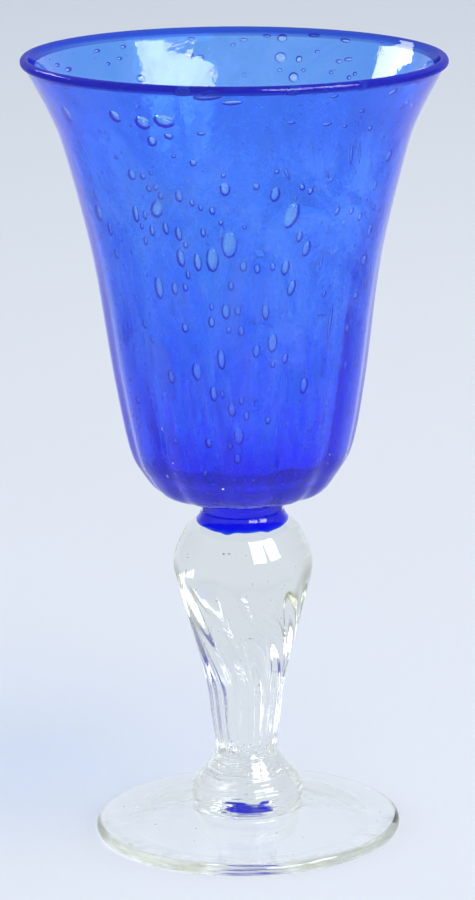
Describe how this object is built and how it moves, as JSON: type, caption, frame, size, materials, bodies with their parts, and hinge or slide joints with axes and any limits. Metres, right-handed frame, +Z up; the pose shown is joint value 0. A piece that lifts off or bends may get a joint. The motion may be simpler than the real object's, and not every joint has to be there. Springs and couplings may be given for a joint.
{
  "type": "glass water goblet",
  "caption": "Hand-blown stemmed water goblet: flared blue bubbled bowl in a clear ribbed casing, blue collar, solid clear baluster stem, knop and kicked-up disc foot.",
  "frame": {"origin": "centre of the foot's resting plane", "axes": "+Z up along the stem to the rim; +X to the right and -Y towards the viewer of the picture"},
  "size_m": [0.1052, 0.1052, 0.2003],
  "materials": {
    "clear_glass": "fire-polished clear soda-lime glass with a faint grey cast and a few seeds",
    "collar_glass": "thick cobalt blue glass, almost opaque",
    "casing_glass": "thin clear glass with optic ribs, fire-polished",
    "bubbled_glass": "cobalt blue glass full of drawn air bubbles, cloudy in patches"
  },
  "bodies": {
    "root": {"foot": "clear_glass", "knop": "clear_glass", "stem": "clear_glass", "collar": "collar_glass", "bowl_casing": "casing_glass", "bowl_lining": "bubbled_glass"}
  },
  "joints": []
}
